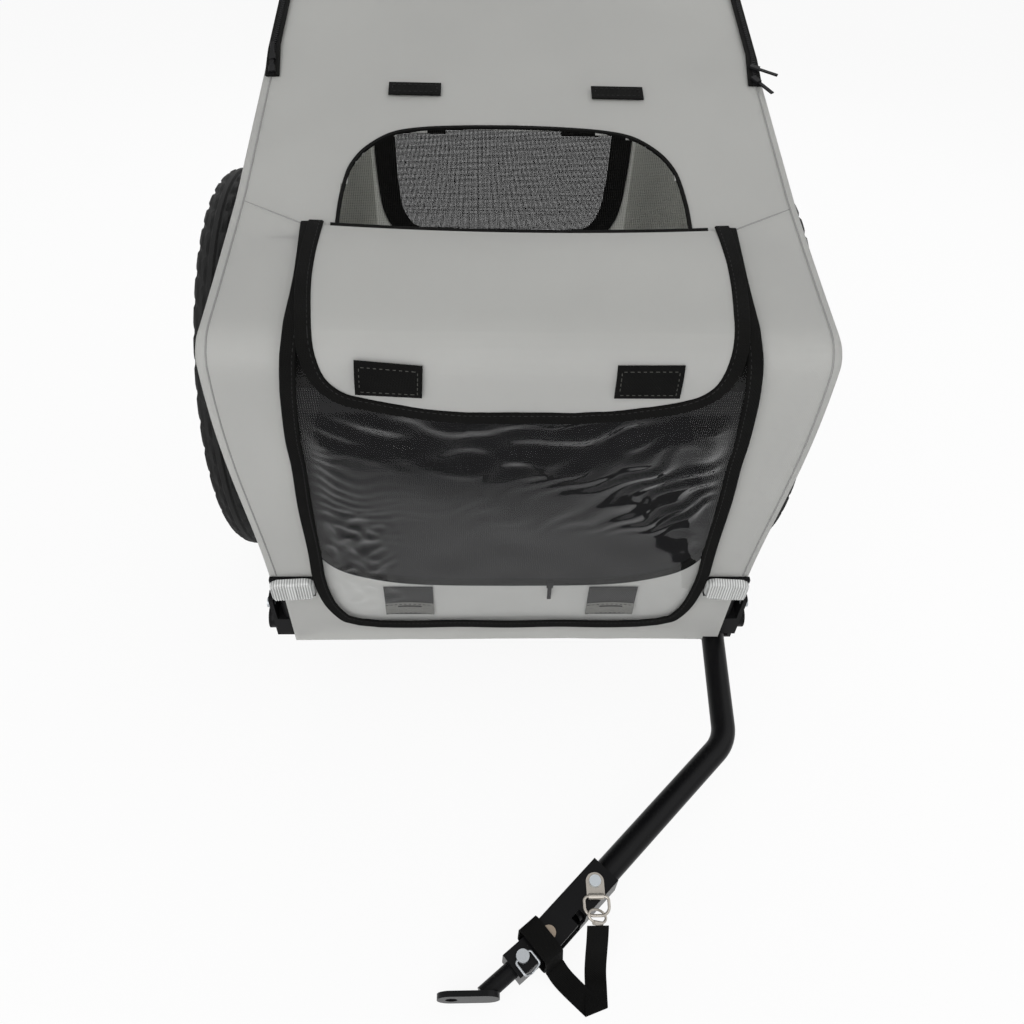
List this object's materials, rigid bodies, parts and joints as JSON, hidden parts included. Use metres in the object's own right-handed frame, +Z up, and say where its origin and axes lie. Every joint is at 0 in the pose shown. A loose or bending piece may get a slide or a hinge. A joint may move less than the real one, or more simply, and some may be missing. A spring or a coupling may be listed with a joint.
{
  "type": "dog bike trailer",
  "caption": "Enclosed dog trailer for a bicycle with spoked wheels, folding tube frame, grey fabric cabin, mesh doors, clear rain cover, skylight flap and side drawbar with axle hitch.",
  "frame": {"origin": "on the ground under the middle of the overall box, with both tyres and the hitch plate on the ground", "axes": "+Z up, -Y towards the drawbar and front door, +X to the trailer's left, which is the drawbar side"},
  "size_m": [0.7526, 1.0247, 0.7779],
  "materials": {
    "tyre_rubber": "matte tread, satin sidewall",
    "rim_alloy": "brushed",
    "spoke_steel": "bright",
    "zinc_steel": "zinc plated",
    "nickel": "nickel plated",
    "bronze": "dull",
    "black_tube": "satin powder coat",
    "black_plastic": "moulded, fine grain",
    "grey_cloth": "woven polyester",
    "black_webbing": "woven tape",
    "black_mesh": "open net",
    "clear_film": "glossy clear film",
    "clear_lens": "ribbed clear lens",
    "floor_sheet": "coated board"
  },
  "bodies": {
    "chassis": {"cross_tubes": "black_tube", "side_rails": "black_tube", "tube_end_caps": "black_plastic", "corner_brackets": "black_plastic", "frame_screws": "zinc_steel", "axle_receivers": "black_plastic", "lower_posts": "black_tube", "knuckle_forks": "black_plastic", "knuckle_pins": "zinc_steel", "floor_board": "floor_sheet", "left_axle": "zinc_steel", "right_axle": "zinc_steel", "drawbar_bracket": "black_tube", "drawbar_pivot_bolt": "black_plastic", "front_panel": "grey_cloth", "roof_panel": "grey_cloth", "side_panels": "grey_cloth", "rear_panel": "grey_cloth", "skylight_mesh": "black_mesh", "rain_cover_top": "clear_film", "roof_strips": "grey_cloth", "roof_zips": "black_plastic", "door_loops": "black_webbing", "reflector_backs": "black_plastic", "reflector_lenses": "clear_lens"},
    "left_wheel": {"left_tyre": "tyre_rubber", "left_rim": "rim_alloy", "left_spokes": "spoke_steel", "left_hub": "black_plastic", "left_bearings": "zinc_steel"},
    "right_wheel": {"right_tyre": "tyre_rubber", "right_rim": "rim_alloy", "right_spokes": "spoke_steel", "right_hub": "black_plastic", "right_bearings": "zinc_steel"},
    "left_button": {"left_release_button": "zinc_steel"},
    "right_button": {"right_release_button": "zinc_steel"},
    "front_top": {"front_hoop": "black_tube"},
    "rear_top": {"rear_hoop": "black_tube"},
    "drawbar": {"drawbar_tube": "black_tube", "drawbar_sleeve": "black_tube", "drawbar_fasteners": "bronze", "ring_tab": "nickel", "d_ring": "nickel", "snap_hook": "nickel", "safety_strap": "black_webbing"},
    "hitch": {"hitch_socket": "black_tube", "hitch_arm": "black_tube"},
    "hitch_pin": {"hitch_pin": "zinc_steel"},
    "pin_clip": {"pin_clip": "zinc_steel"},
    "flap": {"sky_flap": "grey_cloth"},
    "flap_tip": {"flap_tip": "grey_cloth", "flap_patches": "grey_cloth"},
    "rain_cover": {"rain_cover": "clear_film", "rain_cover_binding": "black_webbing"},
    "front_door": {"front_door": "black_mesh", "door_zip_pull": "black_plastic"},
    "rear_door": {"rear_door": "black_mesh"}
  },
  "joints": [
    {"name": "left_wheel_spin", "type": "hinge", "parent": "chassis", "child": "left_wheel", "pos_m": [0.336, 0.2614, 0.251], "axis": [1, 0, 0], "continuous": true},
    {"name": "right_wheel_spin", "type": "hinge", "parent": "chassis", "child": "right_wheel", "pos_m": [-0.336, 0.2614, 0.251], "axis": [1, 0, 0], "continuous": true},
    {"name": "left_release", "type": "slide", "parent": "chassis", "child": "left_button", "axis": [-1, 0, 0], "range_m": [0, 0.003], "stiffness_N_per_m": 300},
    {"name": "right_release", "type": "slide", "parent": "chassis", "child": "right_button", "axis": [1, 0, 0], "range_m": [0, 0.003], "stiffness_N_per_m": 300},
    {"name": "front_fold", "type": "hinge", "parent": "chassis", "child": "front_top", "pos_m": [0, -0.18804, 0.32815], "axis": [1, 0, 0], "range_deg": [-90, 0], "deforming": ["front_panel", "roof_panel", "side_panels", "rear_panel", "skylight_mesh", "rain_cover_top", "roof_strips", "roof_zips", "door_loops", "reflector_backs", "reflector_lenses", "sky_flap", "flap_tip", "flap_patches", "rain_cover", "rain_cover_binding", "front_door", "door_zip_pull", "rear_door"]},
    {"name": "rear_fold", "type": "hinge", "parent": "chassis", "child": "rear_top", "pos_m": [0, 0.42992, 0.49079], "axis": [1, 0, 0], "range_deg": [0, 90]},
    {"name": "drawbar_swing", "type": "hinge", "parent": "chassis", "child": "drawbar", "pos_m": [0.237, -0.11118, 0.11469], "axis": [0, -0.2545, 0.9671], "range_deg": [-90, 0]},
    {"name": "hitch_swivel", "type": "hinge", "parent": "drawbar", "child": "hitch", "pos_m": [0.03043, -0.4498, 0.02557], "axis": [0, -0.2545, 0.9671], "range_deg": [-20, 20], "stiffness_Nm_per_rad": 20, "deforming": ["safety_strap"]},
    {"name": "hitch_pin_pull", "type": "slide", "parent": "hitch", "child": "hitch_pin", "axis": [0, -0.2545, 0.9671], "range_m": [0, 0.028]},
    {"name": "pin_clip_swing", "type": "hinge", "parent": "hitch_pin", "child": "pin_clip", "pos_m": [0.00617, -0.47222, 0.03492], "axis": [-0.7826, -0.602, -0.1584], "range_deg": [0, 100]},
    {"name": "sky_flap_open", "type": "hinge", "parent": "chassis", "child": "flap", "pos_m": [0, -0.13465, 0.58499], "axis": [-1, 0, 0], "range_deg": [0, 172]},
    {"name": "flap_tip_straighten", "type": "hinge", "parent": "flap", "child": "flap_tip", "pos_m": [0, -0.24437, 0.53532], "axis": [-1, 0, 0], "range_deg": [0, 80]},
    {"name": "rain_cover_lift", "type": "hinge", "parent": "chassis", "child": "rain_cover", "pos_m": [0, -0.23781, 0.44535], "axis": [-1, 0, 0], "range_deg": [0, 90]},
    {"name": "front_door_swing", "type": "hinge", "parent": "chassis", "child": "front_door", "pos_m": [0, -0.24605, 0.48868], "axis": [1, 0, 0], "range_deg": [0, 70]},
    {"name": "rear_door_lift", "type": "hinge", "parent": "chassis", "child": "rear_door", "pos_m": [0, 0.40394, 0.6494], "axis": [1, 0, 0], "range_deg": [0, 110]}
  ],
  "couplings": [
    {"joint": "rear_fold", "follows": "front_fold", "ratio": -1},
    {"joint": "flap_tip_straighten", "follows": "sky_flap_open", "ratio": 0.46512}
  ]
}
